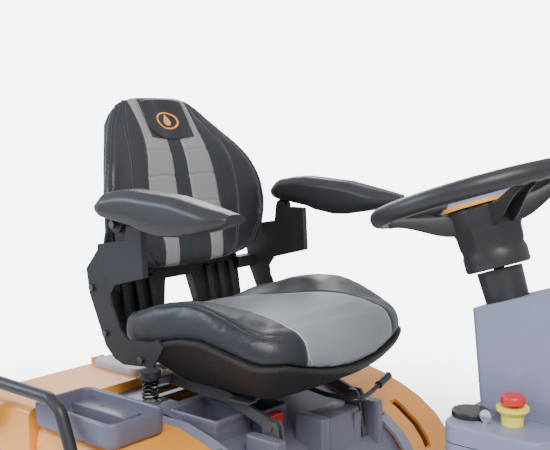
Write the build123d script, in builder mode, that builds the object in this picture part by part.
from build123d import *
import os
from math import cos, radians, sin

os.makedirs("parts", exist_ok=True)

# Driving dimensions, mm. X forward, Y left, Z up, origin on the floor under the middle.
body_half = 430          # half width of the orange body
deck_half = 214          # half width of the grey deck cover
deck_z = 650             # deck height under the seat
platform_z = 380         # standing height of the foot platform
platform_half = 400
rail_y = 120             # centre of each frame rail
rail_low, rail_high = 300, 340
wheel_r = 150            # rear wheel
wheel_w = 80
axle_r = 12.5
drive_r = 125            # front drive wheel
drive_w = 80
drive_x = 560
kingpin_r = 25
running_clearance = 0.05
brush_r = 205
brush_x, brush_y = 150, 215
squeegee_half = 500
hinge_x, hinge_z = 158, 648   # forward hinge of the seat frame
hinge_pin_r = 8
bar_y = 140              # seat side bars
slide_y = 110            # seat slide rails
spring_x, spring_y = -138, 190
arm_pivot_x, arm_pivot_z = -145, 1036
arm_pin_r = 5
wheel_centre = (515, 0, 1115)
column_tilt = 18.5
rim_r, rim_tube_r = 180, 17
shaft_r = 10
recline = 11.4
pedal_x, pedal_z = 470, 396     # pedal hinge

column_axis = (-sin(radians(column_tilt)), 0, cos(radians(column_tilt)))
column_side = (cos(radians(column_tilt)), 0, sin(radians(column_tilt)))


def column_plane(distance):
    """Plane across the steering column, this far below the wheel centre."""
    centre = [c - a * distance for c, a in zip(wheel_centre, column_axis)]
    return Plane(origin=centre, x_dir=column_side, z_dir=column_axis)


def rod(start, end, radius):
    """Round bar between two points."""
    line = Vector(*end) - Vector(*start)
    with BuildPart() as bar:
        with BuildSketch(Plane(origin=start, z_dir=line)):
            Circle(radius)
        extrude(amount=line.length)
    return bar.part


def bent_bar(points, bend_radius, radius, bore=0):
    """Round bar or tube along straight runs joined by tangent bends."""
    with BuildPart() as bar:
        with BuildLine() as path:
            FilletPolyline(*points, radius=bend_radius)
        with BuildSketch(Plane(origin=path.line @ 0, z_dir=path.line % 0)):
            Circle(radius)
            if bore:
                Circle(bore, mode=Mode.SUBTRACT)
        sweep(path=path.line)
    return bar.part


def slab(outline, near_y, far_y):
    """Plate from a side outline (x, z), between two Y positions."""
    with BuildPart() as plate:
        with BuildSketch(Plane.XZ.offset(-far_y)):
            with BuildLine():
                Polyline(*outline, close=True)
            make_face()
        extrude(amount=far_y - near_y)
    return plate.part


def block(x0, x1, y0, y1, z0, z1):
    with BuildPart() as box:
        with Locations(((x0 + x1) / 2, (y0 + y1) / 2, (z0 + z1) / 2)):
            Box(abs(x1 - x0), abs(y1 - y0), abs(z1 - z0))
    return box.part


def pin_y(x, z, y0, y1, radius):
    return rod((x, y0, z), (x, y1, z), radius)


# ---------------------------------------------------------------- frame and body
with BuildPart() as chassis_frame:
    for side in (-1, 1):
        add(block(-420, 690, side * (rail_y - 20), side * (rail_y + 20), rail_low, rail_high))
        add(block(-421, 691, side * (rail_y - 17), side * (rail_y + 17), rail_low + 3, rail_high - 3),
            mode=Mode.SUBTRACT)
        # rear axle hanger, lift arm hanger
        add(slab([(-290, 300), (-210, 300), (-228, 128), (-272, 128)],
                 side * (rail_y - 20), side * (rail_y - 12)))
        add(slab([(-110, 300), (-50, 300), (-62, 256), (-98, 256)],
                 side * (rail_y - 20), side * (rail_y - 12)))
        # squeegee hanger
        add(slab([(-430, 340), (-390, 340), (-396, 184), (-424, 184)], side * 40, side * 50))
        add(block(300, 340, side * 103, side * 137, rail_high, platform_z - 12))
        add(block(600, 635, side * 103, side * 137, rail_high, platform_z - 12))
        # posts under the deck cover
        add(block(232, 239.7, side * 103, side * 137, rail_high, 420))
        # tank seats on the rails
        for x in (-420, -275, -200, 180):
            add(block(x, x + 28, side * 103, side * 137, rail_high, 344.7))
    add(block(-420, -386, -103, 103, rail_low, rail_high))
    add(block(505, 615, -103, 103, rail_low, rail_high))
    add(block(684, 690, -300, 300, rail_low - 60, rail_high + 20))
    with Locations((drive_x, 0, (rail_low + rail_high) / 2)):
        Cylinder(kingpin_r + running_clearance, 60, mode=Mode.SUBTRACT)
    # rear axle, lift arm pins, squeegee pins
    add(pin_y(-250, 150, -wheel_w / 2 - 392, wheel_w / 2 + 392, axle_r))
    for side in (-1, 1):
        add(pin_y(-80, 272, side * 96, side * 126, 8))
    for side in (-1, 1):
        add(pin_y(-410, 200, side * 22, side * 54, 10))
chassis_frame.part.label = "chassis_frame"
export_step(chassis_frame.part, "parts/chassis_frame.step")

with BuildPart() as foot_platform:
    add(block(266, 640, -platform_half, platform_half, platform_z - 12, platform_z - 4))
    for side in (-1, 1):
        add(block(266, 640, side * (platform_half - 6), side * platform_half, 300, platform_z - 4))
        for rib in range(11):
            x = 290 + 30 * rib
            add(block(x, x + 12, side * 185, side * 385, platform_z - 4, platform_z))
    for side in (-1, 1):
        for y0, y1 in ((207, 213), (292, 298)):
            near, far = sorted((side * y0, side * y1))
            add(slab([(pedal_x - 16, 378), (pedal_x - 10, pedal_z + 8), (pedal_x + 10, pedal_z + 8),
                      (pedal_x + 16, 378)], near, far))
        add(pin_y(pedal_x, pedal_z, side * 205, side * 300, 4))
foot_platform.part.label = "foot_platform"
export_step(foot_platform.part, "parts/foot_platform.step")

with BuildPart() as front_cowl:
    with BuildSketch(Plane.XY.offset(200)):
        with Locations((641, 0)):
            Rectangle(84, 800, align=(Align.MIN, Align.CENTER))
    extrude(amount=platform_z - 4 - 200)
    fillet(front_cowl.edges().filter_by(Axis.Z).group_by(Axis.X)[-1], 60)
    fillet(front_cowl.faces().sort_by(Axis.Z)[-1].edges().sort_by(Axis.X)[1:], 13)
    with BuildSketch(Plane.XY.offset(199)) as hollow:
        with Locations((640, 0)):
            Rectangle(80, 790, align=(Align.MIN, Align.CENTER))
        fillet(hollow.vertices().group_by(Axis.X)[-1], 56)
    extrude(amount=platform_z - 9 - 199, mode=Mode.SUBTRACT)
front_cowl.part.label = "front_cowl"
export_step(front_cowl.part, "parts/front_cowl.step")

with BuildPart() as headlights:
    for side in (-1, 1):
        with BuildSketch(Plane(origin=(725.3, side * 230, 315), z_dir=(1, 0, 0))):
            Circle(32)
        extrude(amount=9)
headlights.part.label = "headlights"
export_step(headlights.part, "parts/headlights.step")

with BuildPart() as front_bumper:
    add(block(725.3, 740, -300, 300, 215, 262))
    fillet(front_bumper.edges().filter_by(Axis.Y).group_by(Axis.X)[-1], 10)
front_bumper.part.label = "front_bumper"
export_step(front_bumper.part, "parts/front_bumper.step")

# Side view of the body top, from the tank forward over the nose of the seat box.
band_top = [(-237.7, 640), (0, 640), (68, 624), (130, 602), (169, 584), (217, 550), (240, 522),
            (255, 492), (262, 455), (262, 384)]
cover_top = [(-237.7, deck_z), (-60, deck_z), (0, 634), (68, 611), (148, 581), (186, 560),
             (209, 541), (228, 517), (241, 480), (246, 440), (246, 384)]


def body_shell(profile, near_y, far_y, thickness, bottom):
    """Moulding of even thickness under a side-view line, open below, behind and at its sides."""
    outer = [(profile[0][0], bottom)] + profile + [(profile[-1][0], bottom)]
    inner = [(profile[0][0] - 1, bottom - 1), (profile[0][0] - 1, profile[0][1] - thickness)]
    inner += [(x - thickness * 0.7 * (x > 60), z - thickness) for x, z in profile[1:-1]]
    inner += [(profile[-1][0] - thickness, profile[-1][1]), (profile[-1][0] - thickness, bottom - 1)]
    with BuildPart() as shell:
        add(slab(outer, near_y, far_y))
        add(slab(inner, near_y - 1, far_y + 1), mode=Mode.SUBTRACT)
    return shell.part


def side_panel(side):
    near, far = sorted((side * 246, side * body_half))
    with BuildPart() as panel:
        add(slab([(-237.7, 215)] + band_top + [(262, 215)], near, far))
        outer_top = (panel.faces().sort_by(Axis.Y)[-1 if side > 0 else 0].edges()
                     .filter_by(lambda e: e.center().Z > 420))
        chamfer(outer_top, 32)
        inner = [(-239, 214), (-239, 634)] + [(x - 5, z - 6) for x, z in band_top[1:-1]]
        inner += [(257, 384), (257, 214)]
        near_in, far_in = sorted((side * 240, side * 392))
        add(slab(inner, near_in, far_in), mode=Mode.SUBTRACT)
        low = [(-234, 214), (-234, 590)] + [(x - 10, min(z, 600) - 10) for x, z in band_top[1:-1]]
        low += [(252, 384), (252, 214)]
        near_in, far_in = sorted((side * 391, side * (body_half - 5)))
        add(slab([(x, min(z, 560)) for x, z in low], near_in, far_in), mode=Mode.SUBTRACT)
        # wheel arch
        add(pin_y(-250, 150, side * 240, side * 440, wheel_r + 16), mode=Mode.SUBTRACT)
        # long slot down the front of the arch
        add(slab([(150, 640), (150, 560), (215, 500), (275, 500), (275, 640)],
                 *sorted((side * 292, side * 318))), mode=Mode.SUBTRACT)
    return panel.part


with BuildPart() as side_panel_left:
    add(side_panel(1))
    with Locations((-60, 268, 635)):
        Cylinder(21, 20, mode=Mode.SUBTRACT)
side_panel_left.part.label = "side_panel_left"
export_step(side_panel_left.part, "parts/side_panel_left.step")

with BuildPart() as side_panel_right:
    add(side_panel(-1))
side_panel_right.part.label = "side_panel_right"
export_step(side_panel_right.part, "parts/side_panel_right.step")

with BuildPart() as deck_trim:
    for side in (-1, 1):
        near, far = sorted((side * 214.4, side * 245.6))
        add(body_shell(band_top, near, far, 6, 372))
        for vent in range(5):
            x = 96 + 18 * vent
            near_v, far_v = sorted((side * 222, side * 238))
            add(block(x, x + 7, near_v, far_v, 540, 660), mode=Mode.SUBTRACT)
deck_trim.part.label = "deck_trim"
export_step(deck_trim.part, "parts/deck_trim.step")

# Open pockets moulded into the deck cover: x0, x1, y0, y1, floor, rim
pockets = [(-60, 70, -208, -105, 603, 655), (-40, 100, -98, -24, 603, 655)]
# Solid bosses round the hinge: x0, x1, y0, y1, top
bosses = [(128, 200, -30, -10, 640), (124, 192, 92, 116, 628), (124, 205, 156, 180, 634),
          (124, 205, -180, -156, 634)]

with BuildPart() as seat_deck_cover:
    add(body_shell(cover_top, -deck_half, deck_half, 6, 372))
    for x0, x1, y0, y1, floor, rim in pockets:
        add(block(x0, x1, y0, y1, floor - 4, rim))
    for x0, x1, y0, y1, top in bosses:
        add(slab([(x0, 580), (x0, top), (x1, top - 6), (x1, 548)], y0, y1))
    for x0, x1, y0, y1, floor, rim in pockets:
        add(block(x0 + 5, x1 - 5, y0 + 5, y1 - 5, floor, rim + 1), mode=Mode.SUBTRACT)
    for side in (-1, 1):
        with BuildSketch(Plane.XY.offset(deck_z)):
            with Locations((spring_x, side * spring_y)):
                Circle(23.6)
                Circle(21, mode=Mode.SUBTRACT)
        extrude(amount=4)
    # mouth over the battery well
    add(block(-205, -95, -150, 150, deck_z - 8, deck_z + 2), mode=Mode.SUBTRACT)
seat_deck_cover.part.label = "seat_deck_cover"
export_step(seat_deck_cover.part, "parts/seat_deck_cover.step")

with BuildPart() as seat_hinge_brackets:
    for side in (-1, 1):
        for y0, y1 in ((129, 135.5), (144.5, 151)):
            near, far = sorted((side * y0, side * y1))
            add(slab([(140, 585), (140, 650), (148, 661), (168, 661), (176, 650), (190, 560)],
                     near, far))
        near, far = sorted((side * 129, side * 151))
        add(slab([(140, 591), (140, 605), (187, 580), (190, 563)], near, far))
        add(pin_y(hinge_x, hinge_z, side * 126, side * 154, hinge_pin_r))
seat_hinge_brackets.part.label = "seat_hinge_brackets"
export_step(seat_hinge_brackets.part, "parts/seat_hinge_brackets.step")

with BuildPart() as release_latch:
    add(block(100.3, 118, -96, -60, 606, 650))
    fillet(release_latch.edges().filter_by(Axis.Y).group_by(Axis.Z)[-1], 6)
release_latch.part.label = "release_latch"
export_step(release_latch.part, "parts/release_latch.step")

with BuildPart() as storage_tray:
    with BuildSketch(Plane.XY.offset(640.4)):
        with Locations((-111, -352)):
            RectangleRounded(242, 146, 24)
    extrude(amount=49.6)
    with BuildSketch(Plane.XY.offset(646)):
        with Locations((-111, -352)):
            RectangleRounded(226, 130, 18)
    extrude(amount=50, mode=Mode.SUBTRACT)
    add(block(-224, -60, -330, -290, 645, 668))
    with Locations((-150, -310, 668)):
        Cylinder(5, 20, mode=Mode.SUBTRACT)
storage_tray.part.label = "storage_tray"
export_step(storage_tray.part, "parts/storage_tray.step")

with BuildPart() as grab_rail:
    add(bent_bar([(-62, -430.3, 560), (-62, -446, 560), (-78, -446, 632), (-106, -446, 700),
                  (-140, -446, 720), (-330, -446, 720), (-352, -446, 620), (-352, -425.3, 620)],
                 [8, 40, 30, 22, 24, 14], 12.5))
grab_rail.part.label = "grab_rail"
export_step(grab_rail.part, "parts/grab_rail.step")

with BuildPart() as recovery_tank:
    with BuildSketch(Plane.XY.offset(345)):
        with Locations((-334, 0)):
            Rectangle(192, 850)
    extrude(amount=671 - 345)
    fillet(recovery_tank.edges().filter_by(Axis.Z).group_by(Axis.X)[0], 60)
    fillet(recovery_tank.faces().sort_by(Axis.Z)[-1].edges().sort_by(Axis.X)[:-1], 16)
    add(block(-420, -244, -400, 400, 351, 660), mode=Mode.SUBTRACT)
    with BuildSketch(Plane.XY.offset(640)):
        with Locations((-335, 0)):
            RectangleRounded(146, 240, 20)
    extrude(amount=40, mode=Mode.SUBTRACT)
    with Locations((-332, -150, 505)):
        Box(180, 6, 320)
    add(rod((-440, 150, 590), (-415, 150, 590), 16), mode=Mode.SUBTRACT)
    add(rod((-335, 0, 340), (-335, 0, 356), 20), mode=Mode.SUBTRACT)
    for side in (-1, 1):
        for y0, y1 in ((84, 90), (110, 116)):
            near, far = sorted((side * y0, side * y1))
            add(slab([(-424, 670), (-424, 684), (-412, 684), (-412, 670)], near, far))
        add(pin_y(-418, 678, side * 82, side * 118, 3))
recovery_tank.part.label = "recovery_tank"
export_step(recovery_tank.part, "parts/recovery_tank.step")

with BuildPart() as recovery_lid:
    with BuildSketch(Plane.XY.offset(671.4)):
        with Locations((-329, 0)):
            RectangleRounded(156, 262, 22)
    extrude(amount=14)
    fillet(recovery_lid.faces().sort_by(Axis.Z)[-1].edges(), 5)
    with BuildSketch(Plane.XY.offset(671.4)):
        with Locations((-335, 0)):
            RectangleRounded(140, 226, 14)
    extrude(amount=8, mode=Mode.SUBTRACT)
    for side in (-1, 1):
        near, far = sorted((side * 82, side * 118))
        add(block(-426, -405, near, far, 665, 690), mode=Mode.SUBTRACT)
        near, far = sorted((side * 91, side * 109))
        add(block(-418, -400, near, far, 674, 683))
        add(pin_y(-418, 678, near, far, 6.5))
        add(pin_y(-418, 678, side * 80, side * 120, 3 + running_clearance), mode=Mode.SUBTRACT)
recovery_lid.part.label = "recovery_lid"
export_step(recovery_lid.part, "parts/recovery_lid.step")

tank_outline = [(-225, 345), (218, 345), (218, 440), (110, 562), (60, 590), (-225, 590)]

with BuildPart() as solution_tank:
    add(slab(tank_outline, -290, 290))
    add(slab([(-219, 351), (212, 351), (212, 438), (108, 555), (58, 584), (-219, 584)], -284, 284),
        mode=Mode.SUBTRACT)
    add(block(-206, 66, -166, 166, 351, 589))
    add(block(-200, 60, -160, 160, 357, 592), mode=Mode.SUBTRACT)
    with Locations((-60, 268, 617)):
        Cylinder(20, 54)
        Cylinder(16, 80, mode=Mode.SUBTRACT)
solution_tank.part.label = "solution_tank"
export_step(solution_tank.part, "parts/solution_tank.step")

with BuildPart() as filler_cap:
    with Locations((-60, 268, 649)):
        Cylinder(24, 16)
    with Locations((-60, 268, 643)):
        Cylinder(20.4, 10, mode=Mode.SUBTRACT)
filler_cap.part.label = "filler_cap"
export_step(filler_cap.part, "parts/filler_cap.step")

with BuildPart() as battery_pack:
    for x in (-197, -67):
        for y in (-156, 2):
            add(block(x, x + 124, y, y + 154, 357.3, 545))
    chamfer(battery_pack.edges().filter_by(Axis.Z), 3)
    for x in (-167, -37):
        for y in (-140, 18):
            for step in (0, 122):
                with Locations((x + 32, y + step, 550.5)):
                    Cylinder(7, 12)
    for x in (-137, -7):
        add(block(x - 2, x + 6, -18, 18, 557.4, 563))
    add(block(-135, -5, -146, -134, 557.4, 563))
battery_pack.part.label = "battery_pack"
export_step(battery_pack.part, "parts/battery_pack.step")

with BuildPart() as vacuum_motor:
    with Locations((-332, 0, 250)):
        Cylinder(56, 92)
    with Locations((-332, 0, 320)):
        Cylinder(26, 49.4)
    fillet(vacuum_motor.faces().sort_by(Axis.Z)[0].edges(), 12)
    with Locations((-332, 0, 320)):
        Cylinder(18, 60, mode=Mode.SUBTRACT)
vacuum_motor.part.label = "vacuum_motor"
export_step(vacuum_motor.part, "parts/vacuum_motor.step")

with BuildPart() as suction_hose:
    run = [(-430.3, 150, 590), (-480, 150, 590), (-480, 150, 200), (-410, 150, 200), (-410, 56, 200)]
    add(bent_bar(run, [30, 34, 30], 18) - bent_bar(run, [30, 34, 30], 14))
suction_hose.part.label = "suction_hose"
export_step(suction_hose.part, "parts/suction_hose.step")

# ---------------------------------------------------------------- column and console
shroud_half = 62
shroud_outline = [(536, 920), (690, 971.5), (722, 900), (714, 745.4), (556, 745.4)]

with BuildPart() as column_shroud:
    add(slab(shroud_outline, -shroud_half, shroud_half))
    fillet(column_shroud.edges().filter_by(lambda e: abs(e.center().Y) > shroud_half - 1
                                           and 760 < e.center().Z < 938), 14)
    add(slab([(543, 914), (690, 964), (716, 898), (708, 744), (562, 744)],
             5 - shroud_half, shroud_half - 5), mode=Mode.SUBTRACT)
    with BuildSketch(column_plane(240)):
        Circle(40)
    extrude(amount=120, mode=Mode.SUBTRACT)
column_shroud.part.label = "column_shroud"
export_step(column_shroud.part, "parts/column_shroud.step")

with BuildPart() as column_tube:
    with BuildSketch(column_plane(320)):
        Circle(33)
    with BuildSketch(column_plane(137)):
        Circle(40)
    loft()
    add(block(580, 708, -56.7, 56.7, 806, 818))
    with BuildSketch(column_plane(360)):
        Circle(shaft_r + running_clearance)
    extrude(amount=230, mode=Mode.SUBTRACT)
column_tube.part.label = "column_tube"
export_step(column_tube.part, "parts/column_tube.step")

console_half = 160
dial_at, key_at, stop_at = (560, -97), (600, -121), (636, -97)

with BuildPart() as console_base:
    with BuildSketch(Plane.XY.offset(platform_z - 3.6)):
        with Locations((630, 0)):
            RectangleRounded(176, 2 * console_half - 6, 34)
    with BuildSketch(Plane.XY.offset(712)):
        with Locations((625, 0)):
            RectangleRounded(182, 2 * console_half, 34)
    loft()
    with BuildSketch(Plane.XY.offset(platform_z - 5)):
        with Locations((629, 0)):
            RectangleRounded(164, 2 * console_half - 18, 28)
    extrude(amount=331, mode=Mode.SUBTRACT)
console_base.part.label = "console_base"
export_step(console_base.part, "parts/console_base.step")

with BuildPart() as console_top:
    with BuildSketch(Plane.XY.offset(714)):
        with Locations((625, 0)):
            RectangleRounded(184, 2 * console_half + 2, 35)
    extrude(amount=31)
    fillet(console_top.faces().sort_by(Axis.Z)[-1].edges(), 5)
    with BuildSketch(Plane.XY.offset(712.2)):
        with Locations((625, 0)):
            RectangleRounded(150, 2 * console_half - 40, 12)
    extrude(amount=2.2)
    for (x, y), radius in ((dial_at, 5), (key_at, 4.5), (stop_at, 9)):
        with Locations((x, y, 740)):
            Cylinder(radius + running_clearance, 24, mode=Mode.SUBTRACT)
console_top.part.label = "console_top"
export_step(console_top.part, "parts/console_top.step")

with BuildPart() as speed_dial:
    with Locations((*dial_at, 750.4)):
        Cylinder(32, 10)
    fillet(speed_dial.faces().sort_by(Axis.Z)[-1].edges(), 3)
    with Locations((*dial_at, 741)):
        Cylinder(5, 12)
speed_dial.part.label = "speed_dial"
export_step(speed_dial.part, "parts/speed_dial.step")

with BuildPart() as ignition_key:
    with Locations((*key_at, 742)):
        Cylinder(4.5, 16)
    with BuildSketch(Plane(origin=(*key_at, 758), z_dir=(0, 1, 0))):
        Ellipse(11, 10)
    extrude(amount=1.5, both=True)
ignition_key.part.label = "ignition_key"
export_step(ignition_key.part, "parts/ignition_key.step")

with BuildPart() as stop_collar:
    with BuildSketch(Plane.XZ.offset(-stop_at[1])):
        with BuildLine():
            Polyline((stop_at[0] + 9.2, 745.4), (stop_at[0] + 18, 745.4), (stop_at[0] + 19, 762),
                     (stop_at[0] + 27, 771), (stop_at[0] + 27, 776), (stop_at[0] + 9.2, 776),
                     close=True)
        make_face()
    revolve(axis=Axis((*stop_at, 0), (0, 0, 1)))
stop_collar.part.label = "stop_collar"
export_step(stop_collar.part, "parts/stop_collar.step")

with BuildPart() as stop_button:
    with Locations((*stop_at, 762)):
        Cylinder(9, 46)
    with Locations((*stop_at, 789)):
        Cylinder(20, 14)
    fillet(stop_button.faces().sort_by(Axis.Z)[-1].edges(), 6)
stop_button.part.label = "stop_button"
export_step(stop_button.part, "parts/stop_button.step")

# ---------------------------------------------------------------- steering wheel
with BuildPart() as steering_rim:
    with BuildSketch(Plane(origin=wheel_centre, x_dir=column_side, z_dir=(0, 1, 0))):
        with Locations((rim_r, 0)):
            Circle(rim_tube_r)
    revolve(axis=Axis(wheel_centre, column_axis))
steering_rim.part.label = "steering_rim"
export_step(steering_rim.part, "parts/steering_rim.step")

with BuildPart() as steering_hub:
    with BuildSketch(column_plane(135)):
        Circle(57)
    with BuildSketch(column_plane(22)):
        Circle(64)
    loft()
    with BuildSketch(column_plane(136)):
        Circle(50)
    extrude(amount=26, mode=Mode.SUBTRACT)
    for turn in (35, 145, 215, 325):
        spoke_dir = Vector(*column_side).rotate(Axis((0, 0, 0), column_axis), turn)
        side_dir = Vector(*column_axis).cross(spoke_dir)
        near = column_plane(42).origin + spoke_dir * 52
        with BuildSketch(Plane(origin=near, x_dir=side_dir, z_dir=spoke_dir)):
            Rectangle(40, 40)
        with BuildSketch(Plane(origin=column_plane(12).origin + spoke_dir * (rim_r - 17.5),
                               x_dir=side_dir, z_dir=spoke_dir)):
            Rectangle(30, 12)
        loft()
    with BuildSketch(column_plane(340)):
        Circle(shaft_r)
    extrude(amount=318)
    with BuildSketch(column_plane(21.9)):
        Circle(70.3)
    extrude(amount=40, mode=Mode.SUBTRACT)
steering_hub.part.label = "steering_hub"
export_step(steering_hub.part, "parts/steering_hub.step")

with BuildPart() as steering_trim:
    with BuildSketch(column_plane(21.7)):
        Circle(70)
    extrude(amount=7)
steering_trim.part.label = "steering_trim"
export_step(steering_trim.part, "parts/steering_trim.step")

with BuildPart() as steering_pad:
    with BuildSketch(column_plane(14.4)):
        Circle(62)
    with BuildSketch(column_plane(-4)):
        Circle(48)
    loft()
steering_pad.part.label = "steering_pad"
export_step(steering_pad.part, "parts/steering_pad.step")

# ---------------------------------------------------------------- drive wheel and rear wheels
with BuildPart() as drive_fork:
    with Locations((drive_x, 0, 310)):
        Cylinder(kingpin_r, 76)
    add(block(drive_x - 35, drive_x + 35, -56, 56, 256, 274))
    for side in (-1, 1):
        near, far = sorted((side * 46, side * 54))
        add(slab([(drive_x - 28, 260), (drive_x + 28, 260), (drive_x + 18, 108),
                  (drive_x - 18, 108)], near, far))
    add(pin_y(drive_x, drive_r, -58, 58, 10))
drive_fork.part.label = "drive_fork"
export_step(drive_fork.part, "parts/drive_fork.step")

with BuildPart() as drive_motor:
    add(pin_y(drive_x, drive_r + 12, 58.3, 118, 44))
    fillet(drive_motor.faces().sort_by(Axis.Y)[-1].edges(), 8)
    add(pin_y(drive_x, drive_r + 12, 54.3, 60, 16) - pin_y(drive_x, drive_r, 50, 59, 11))
drive_motor.part.label = "drive_motor"
export_step(drive_motor.part, "parts/drive_motor.step")


def wheel(x, y, radius, width, bore, rim_radius):
    """Tyre on its dished rim, turning about Y."""
    near, far = y - width / 2, y + width / 2
    with BuildPart() as both:
        add(pin_y(x, radius, near, far, radius))
        chamfer(both.edges(), 9)
        for y0, y1 in ((near - 1, near + 6), (far - 6, far + 1)):
            add(pin_y(x, radius, y0, y1, rim_radius), mode=Mode.SUBTRACT)
        for y0, y1 in ((near + 5, near + 22), (far - 22, far - 5)):
            add(pin_y(x, radius, y0, y1, rim_radius - 10) - pin_y(x, radius, y0, y1, bore + 14),
                mode=Mode.SUBTRACT)
        add(pin_y(x, radius, near - 1, far + 1, bore), mode=Mode.SUBTRACT)
    return both.part


with BuildPart() as drive_wheel:
    add(wheel(drive_x, 0, drive_r, drive_w, 10 + running_clearance, 72))
drive_wheel.part.label = "drive_wheel"
export_step(drive_wheel.part, "parts/drive_wheel.step")

with BuildPart() as rear_wheel_left:
    add(wheel(-250, 385, wheel_r, wheel_w, axle_r + running_clearance, 88))
rear_wheel_left.part.label = "rear_wheel_left"
export_step(rear_wheel_left.part, "parts/rear_wheel_left.step")

with BuildPart() as rear_wheel_right:
    add(wheel(-250, -385, wheel_r, wheel_w, axle_r + running_clearance, 88))
rear_wheel_right.part.label = "rear_wheel_right"
export_step(rear_wheel_right.part, "parts/rear_wheel_right.step")

# ---------------------------------------------------------------- pedals
def pedal(y0, y1, length):
    outline = [(pedal_x - 6, pedal_z - 4), (pedal_x - 4, pedal_z + 7),
               (pedal_x + length, pedal_z + 7 + length * 0.36),
               (pedal_x + length + 3, pedal_z - 1 + length * 0.36), (pedal_x + 6, pedal_z - 4)]
    with BuildPart() as plate:
        add(slab(outline, y0, y1))
        add(pin_y(pedal_x, pedal_z, y0, y1, 8))
        add(pin_y(pedal_x, pedal_z, y0 - 1, y1 + 1, 4 + running_clearance), mode=Mode.SUBTRACT)
        for rib in range(4):
            x = pedal_x + 22 + rib * 20
            z = pedal_z + 7 + (x - pedal_x) * 0.36
            add(slab([(x, z - 4), (x, z + 3), (x + 8, z + 5.5), (x + 8, z - 2)], y0 + 8, y1 - 8))
    return plate.part


with BuildPart() as accelerator_pedal:
    add(pedal(-290, -215, 104))
accelerator_pedal.part.label = "accelerator_pedal"
export_step(accelerator_pedal.part, "parts/accelerator_pedal.step")

with BuildPart() as brake_pedal:
    add(pedal(215, 290, 104))
brake_pedal.part.label = "brake_pedal"
export_step(brake_pedal.part, "parts/brake_pedal.step")

# ---------------------------------------------------------------- brush deck
with BuildPart() as deck_lift_arms:
    for side in (-1, 1):
        near, far = sorted((side * 109, side * 121))
        add(slab([(-94, 272), (-86, 286), (-70, 286), (150, 227), (164, 214), (150, 201),
                  (-86, 258)], near, far))
        add(pin_y(-80, 272, side * 105, side * 130, 8 + running_clearance), mode=Mode.SUBTRACT)
        add(pin_y(brush_x, 214, side * 105, side * 125, 6 + running_clearance), mode=Mode.SUBTRACT)
    add(block(10, 30, -110, 110, 236, 252))
deck_lift_arms.part.label = "deck_lift_arms"
export_step(deck_lift_arms.part, "parts/deck_lift_arms.step")

with BuildPart() as brush_deck:
    with BuildSketch(Plane.XY.offset(46)):
        for side in (-1, 1):
            with Locations((brush_x, side * brush_y)):
                Circle(brush_r + 28)
        with Locations((brush_x, 0)):
            Rectangle(2 * brush_r + 20, 160)
    extrude(amount=106)
    with BuildSketch(Plane.XY.offset(45)):
        for side in (-1, 1):
            with Locations((brush_x, side * brush_y)):
                Circle(brush_r + 22)
        with Locations((brush_x, 0)):
            Rectangle(2 * brush_r + 8, 160)
    extrude(amount=101, mode=Mode.SUBTRACT)
    for side in (-1, 1):
        near, far = sorted((side * 122, side * 130))
        add(slab([(brush_x - 22, 151), (brush_x - 12, 227), (brush_x + 12, 227), (brush_x + 22, 151)],
                 near, far))
        add(pin_y(brush_x, 214, side * 107, side * 133, 6))
        with Locations((brush_x, side * brush_y, 148)):
            Cylinder(13, 20, mode=Mode.SUBTRACT)
brush_deck.part.label = "brush_deck"
export_step(brush_deck.part, "parts/brush_deck.step")

with BuildPart() as brush_motors:
    for side in (-1, 1):
        with Locations((brush_x, side * brush_y, 218)):
            Cylinder(52, 131.4)
        with Locations((brush_x, side * brush_y, 120)):
            Cylinder(12.5, 90)
brush_motors.part.label = "brush_motors"
export_step(brush_motors.part, "parts/brush_motors.step")

with BuildPart() as deck_skirts:
    with BuildSketch(Plane.XY.offset(14)):
        for side in (-1, 1):
            with Locations((brush_x, side * brush_y)):
                Circle(brush_r + 34)
        with Locations((brush_x, 0)):
            Rectangle(2 * brush_r + 34, 160)
    extrude(amount=50)
    with BuildSketch(Plane.XY.offset(13)):
        for side in (-1, 1):
            with Locations((brush_x, side * brush_y)):
                Circle(brush_r + 28.2)
        with Locations((brush_x, 0)):
            Rectangle(2 * brush_r + 20.4, 160)
    extrude(amount=52, mode=Mode.SUBTRACT)
deck_skirts.part.label = "deck_skirts"
export_step(deck_skirts.part, "parts/deck_skirts.step")


def disc_brush(side):
    """Bristle ring under a round block with its drive hub."""
    with BuildPart() as brush:
        with BuildSketch(Plane.XY.offset(2)):
            with Locations((brush_x, side * brush_y)):
                Circle(brush_r)
                Circle(70, mode=Mode.SUBTRACT)
        extrude(amount=40)
        with Locations((brush_x, side * brush_y, 50)):
            Cylinder(brush_r - 8, 16)
        with Locations((brush_x, side * brush_y, 76)):
            Cylinder(34, 44)
        with Locations((brush_x, side * brush_y, 90)):
            Cylinder(12.5 + running_clearance, 120, mode=Mode.SUBTRACT)
    return brush.part


with BuildPart() as brush_left:
    add(disc_brush(1))
brush_left.part.label = "brush_left"
export_step(brush_left.part, "parts/brush_left.step")

with BuildPart() as brush_right:
    add(disc_brush(-1))
brush_right.part.label = "brush_right"
export_step(brush_right.part, "parts/brush_right.step")

# ---------------------------------------------------------------- squeegee
bow_r = (squeegee_half ** 2 + 220 ** 2) / (2 * 220)   # bow through both tips and the middle
bow_x = -740 + bow_r


def bow(inner, outer, z0, z1):
    with BuildPart() as band:
        with BuildSketch(Plane.XY.offset(z0)):
            with Locations((bow_x, 0)):
                Circle(outer)
                Circle(inner, mode=Mode.SUBTRACT)
            with Locations((-520, 0)):
                Rectangle(3000, 3000, align=(Align.MIN, Align.CENTER), mode=Mode.SUBTRACT)
        extrude(amount=z1 - z0)
    return band.part


with BuildPart() as squeegee_body:
    add(bow(bow_r - 58, bow_r - 8, 70, 96))
squeegee_body.part.label = "squeegee_body"
export_step(squeegee_body.part, "parts/squeegee_body.step")

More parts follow.
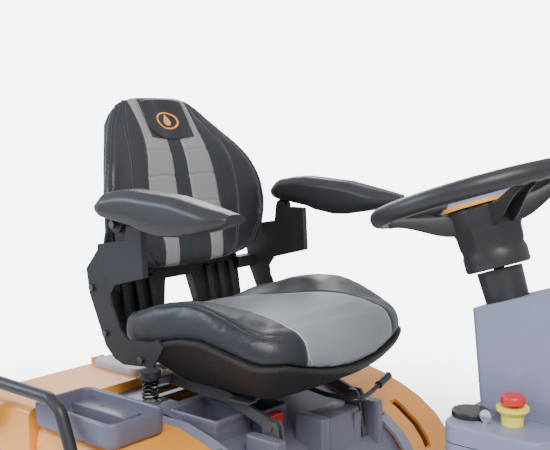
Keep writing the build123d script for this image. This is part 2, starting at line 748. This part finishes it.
with BuildPart() as squeegee_blades:
    add(bow(bow_r - 7.7, bow_r - 1, 2, 90))
    add(bow(bow_r - 65, bow_r - 58.3, 2, 90))
squeegee_blades.part.label = "squeegee_blades"
export_step(squeegee_blades.part, "parts/squeegee_blades.step")

with BuildPart() as squeegee_arm:
    add(pin_y(-410, 200, -21.6, 21.6, 24))
    add(bent_bar([(-424, 0, 196), (-640, 0, 122), (-704, 0, 122)], 60, 17))
    add(rod((-704, 0, 96.4), (-704, 0, 146), 24))
    add(pin_y(-410, 200, -30, 30, 10 + running_clearance), mode=Mode.SUBTRACT)
squeegee_arm.part.label = "squeegee_arm"
export_step(squeegee_arm.part, "parts/squeegee_arm.step")

# ---------------------------------------------------------------- seat frame
with BuildPart() as seat_springs:
    for side in (-1, 1):
        with BuildLine():
            Helix(pitch=10, height=40.6, radius=16, center=(spring_x, side * spring_y, 657.2))
        with BuildSketch(Plane(origin=(spring_x + 16, side * spring_y, 657.2), z_dir=(0, 1, 0.1))):
            Circle(2)
        sweep()
seat_springs.part.label = "seat_springs"
export_step(seat_springs.part, "parts/seat_springs.step")

with BuildPart() as spring_feet:
    for side in (-1, 1):
        with Locations((spring_x, side * spring_y, 652.7)):
            Cylinder(20.5, 4.8)
    add(block(spring_x - 8, spring_x + 8, -171, 171, 654.3, 658))
spring_feet.part.label = "spring_feet"
export_step(spring_feet.part, "parts/spring_feet.step")

with BuildPart() as seat_bars:
    for side in (-1, 1):
        near, far = sorted((side * (bar_y - 4), side * (bar_y + 4)))
        add(slab([(-168, 683), (-168, 707), (44, 696), (158, 660), (168, 655), (170, 648), (168, 641),
                  (158, 636), (44, 672)], near, far))
        add(pin_y(hinge_x, hinge_z, side * 130, side * 150, hinge_pin_r + running_clearance),
            mode=Mode.SUBTRACT)
        near, far = sorted((side * 144, side * 212))
        add(block(spring_x - 20, spring_x + 20, near, far, 702.4, 706))
        near, far = sorted((side * 144, side * 150))
        add(block(spring_x - 20, spring_x + 20, near, far, 684, 706))
    add(block(spring_x - 20, spring_x + 20, -136, 136, 680, 685.7))
    add(block(-140, 76, -134, 134, 686, 690))
    add(block(60, 112, -160, 160, 686, 690))
    for y0 in (-136, -60, 60, 136):
        add(block(-140, 60, y0 - (y0 > 0) * 4, y0 + (y0 < 0) * 4, 684, 690))
    for notch in (-120, -40, 40, 120):
        add(block(104, 113, notch - 14, notch + 14, 685, 691), mode=Mode.SUBTRACT)
    for y in (26, 56):
        add(block(74, 90, y - 3, y + 3, 668, 686))
    add(pin_y(82, 676, 23, 59, 4))
    for side in (-1, 1):
        with Locations((spring_x, side * spring_y, 712)):
            Cylinder(23, 12)
        with Locations((spring_x, side * spring_y, 701.3)):
            Cylinder(19, 2.4)
    for side in (-1, 1):
        centre = side * slide_y
        add(block(-160, 75, centre - 15, centre + 15, 690, 699.3))
        add(block(-161, 76, centre - 12.6, centre + 12.6, 692, 697.5), mode=Mode.SUBTRACT)
        add(block(-161, 76, centre - 6.6, centre + 6.6, 695, 700), mode=Mode.SUBTRACT)
seat_bars.part.label = "seat_bars"
export_step(seat_bars.part, "parts/seat_bars.step")

with BuildPart() as slide_lever:
    add(bent_bar([(92, 41, 676), (150, 44, 668), (231, 48, 668), (222, 110, 672), (216, 186, 690)],
                 [30, 16, 30], 5))
    add(rod((219.7, 140, 679.3), (216, 186, 690), 8.5))
    add(pin_y(82, 676, 30.5, 51.5, 8))
    add(rod((82, 41, 676), (96, 41, 676), 5))
    add(pin_y(82, 676, 20, 60, 4 + running_clearance), mode=Mode.SUBTRACT)
slide_lever.part.label = "slide_lever"
export_step(slide_lever.part, "parts/slide_lever.step")

# ---------------------------------------------------------------- seat
rim_line = [(256, 757), (240, 770), (201, 790), (157, 800), (106, 811), (67, 818), (13, 815),
            (-59, 796), (-128, 777), (-172, 766)]

with BuildPart() as seat_pan:
    add(slab([(-172, 745), (-135, 729), (-31, 702), (138, 702), (232, 735)] + rim_line, -238, 238))
    for side in (-1, 1):
        with BuildSketch(Plane.YZ.offset(-300)):
            with BuildLine():
                Polyline((side * 146, 695), (side * 146, 702), (side * 244, 800), (side * 260, 800),
                         (side * 260, 695), close=True)
            make_face()
        extrude(amount=700, mode=Mode.SUBTRACT)
        add(block(-116, -60, side * 188, side * 251.6, 752, 776))
    add(slab([(-120, 740), (-28, 710), (136, 710), (200, 730), (200, 830), (-120, 830)], -140, 140),
        mode=Mode.SUBTRACT)
    for side in (-1, 1):
        centre = side * slide_y
        add(block(-84, 75, centre - 12, centre + 12, 692.4, 697))
        add(block(-30, 75, centre - 6, centre + 6, 697, 702.5))
seat_pan.part.label = "seat_pan"
export_step(seat_pan.part, "parts/seat_pan.step")

with BuildPart() as seat_cushion:
    top_line = [(-192, 792), (-186, 836), (-168, 846), (-128, 852), (-68, 874), (-11, 884), (45, 887),
                (84, 881), (136, 867), (185, 851), (218, 836), (246, 808), (260, 778)]
    bottom_line = [(x, z + 0.6) for x, z in rim_line[:-1]] + [(-170, 767)]
    add(slab(top_line + bottom_line, -248, 248))
    with BuildSketch(Plane.YZ.offset(-300)):
        with BuildLine():
            Polyline((-205, 900), (-140, 863), (140, 863), (205, 900), close=True)
        make_face()
    extrude(amount=700, mode=Mode.SUBTRACT)
seat_cushion.part.label = "seat_cushion"
export_step(seat_cushion.part, "parts/seat_cushion.step")

back_normal = (cos(radians(recline)), 0, sin(radians(recline)))
# Backrest outlines, half-width at each distance up it: bolster ridge, cushion rear, shell
back_front = [(0, 120), (12, 172), (28, 214), (50, 241), (76, 250), (105, 251), (140, 251), (170, 249),
              (205, 242), (240, 222), (268, 196), (290, 166), (306, 140), (320, 112), (334, 84), (344, 56)]
back_rear = [(8, 90), (18, 135), (32, 165), (54, 184), (80, 188), (105, 186), (140, 182), (170, 178),
             (205, 172), (240, 166), (274, 158), (305, 152), (336, 146), (358, 130), (376, 112), (384, 80)]
shell_half = [(0, 90), (14, 135), (30, 162), (54, 177), (105, 179), (170, 170), (240, 158), (305, 144),
              (336, 138), (360, 122), (376, 104), (384, 74)]


def back_plane(depth):
    """Plane of the backrest face, moved backward by depth; local x is Y, local y runs up it."""
    origin = [c - n * depth for c, n in zip((-173, 0, 921), back_normal)]
    return Plane(origin=origin, x_dir=(0, 1, 0), z_dir=back_normal)


with BuildPart() as back_cushion:
    for depth, outline in ((72, back_rear), (-2, back_front)):
        with BuildSketch(back_plane(depth)):
            with BuildLine():
                Polyline(*[(half, up) for up, half in outline],
                         *[(-half, up) for up, half in reversed(outline)], close=True)
            make_face()
    loft(ruled=True)
back_cushion.part.label = "back_cushion"
export_step(back_cushion.part, "parts/back_cushion.step")

with BuildPart() as seat_back_shell:
    with BuildSketch(back_plane(96)):
        with BuildLine():
            Polyline(*[(half, up) for up, half in shell_half],
                     *[(-half, up) for up, half in reversed(shell_half)], close=True)
        make_face()
    extrude(amount=23.6)
    add(slab([(-253, 938), (-271, 938), (-266, 880), (-252, 800), (-228, 752), (-172.6, 745),
              (-172.6, 760), (-196, 766), (-220, 780), (-232, 808), (-246, 903)], -205, 205))
    for y in (-172, -132, -92, 92, 132, 172):
        add(slab([(-248, 903), (-236, 898), (-216, 806), (-212, 784), (-226, 786), (-250, 890)],
                 y - 8, y + 8))
    with BuildSketch(Plane.YZ.offset(-300)):
        with BuildLine():
            Polyline((-56, 816), (56, 816), (42, 884), (-42, 884), close=True)
        make_face()
    extrude(amount=140, mode=Mode.SUBTRACT)
    for side in (-1, 1):
        add(block(-254, -228, side * 190, side * 251.6, 880, 908))
seat_back_shell.part.label = "seat_back_shell"
export_step(seat_back_shell.part, "parts/seat_back_shell.step")

bracket_outline = [(-159, 1036), (-155, 1046), (-145, 1050), (-135, 1046), (-131, 1034), (-76, 1034),
                   (-70, 933), (-166, 907), (-182, 885), (-178, 862), (-152, 815), (-128, 798),
                   (-62, 804), (-40, 812), (-26, 798), (-55, 753), (-143, 744), (-170, 752),
                   (-198, 775), (-248, 880), (-257, 933), (-207, 990), (-163, 998)]

with BuildPart() as armrest_brackets:
    for side in (-1, 1):
        near, far = sorted((side * 252, side * 257))
        add(slab(bracket_outline, near, far))
        near, far = sorted((side * 262, side * 267))
        add(slab([(-207, 990), (-122, 1004), (-118, 1034), (-76, 1034), (-70, 933), (-166, 907),
                  (-206, 940)], near, far))
        near, far = sorted((side * 257, side * 262))
        add(slab([(-82, 1034), (-76, 1034), (-70, 933), (-77, 931)], near, far))
        add(slab([(-207, 990), (-200, 990), (-198, 936), (-206, 940)], near, far))
        add(pin_y(arm_pivot_x, arm_pivot_z, side * 250, side * 265, arm_pin_r), mode=Mode.SUBTRACT)
armrest_brackets.part.label = "armrest_brackets"
export_step(armrest_brackets.part, "parts/armrest_brackets.step")

with BuildPart() as bracket_bolts:
    for side in (-1, 1):
        for x, z in ((-237, 894), (-197, 802), (-88, 764)):
            add(pin_y(x, z, side * 257.2, side * 263, 7))
        add(pin_y(arm_pivot_x, arm_pivot_z, side * 250, side * 278, arm_pin_r))
        add(pin_y(arm_pivot_x, arm_pivot_z, side * 276, side * 282, 8))
bracket_bolts.part.label = "bracket_bolts"
export_step(bracket_bolts.part, "parts/bracket_bolts.step")

arm_outline = [(-172, 1074), (-166, 1090), (-149, 1101), (-110, 1108), (-75, 1111), (44, 1103),
               (148, 1082), (189, 1076), (193, 1071), (188, 1062), (110, 1038), (53, 1028), (16, 1026),
               (-39, 1033), (-59, 1040), (-166, 1055)]


def armrest(side):
    near, far = sorted((side * 240, side * 310))
    with BuildPart() as rest:
        add(slab(arm_outline, near, far))
        chamfer(rest.faces().filter_by(Axis.Y).edges().filter_by(lambda e: e.center().Z > 1085), 12)
        near, far = sorted((side * 267.6, side * 274.4))
        add(slab([(-158, 1030), (-152, 1024), (-138, 1024), (-132, 1030), (-128, 1058), (-162, 1060)],
                 near, far))
        add(pin_y(arm_pivot_x, arm_pivot_z, side * 266, side * 276, arm_pin_r + running_clearance),
            mode=Mode.SUBTRACT)
        near, far = sorted((side * 275.5, side * 283))
        add(pin_y(arm_pivot_x, arm_pivot_z, near, far, 15), mode=Mode.SUBTRACT)
        near, far = sorted((side * 248, side * 267.6))
        add(pin_y(arm_pivot_x, arm_pivot_z, near, far, 15), mode=Mode.SUBTRACT)
    return rest.part


with BuildPart() as armrest_left:
    add(armrest(1))
armrest_left.part.label = "armrest_left"
export_step(armrest_left.part, "parts/armrest_left.step")

with BuildPart() as armrest_right:
    add(armrest(-1))
armrest_right.part.label = "armrest_right"
export_step(armrest_right.part, "parts/armrest_right.step")
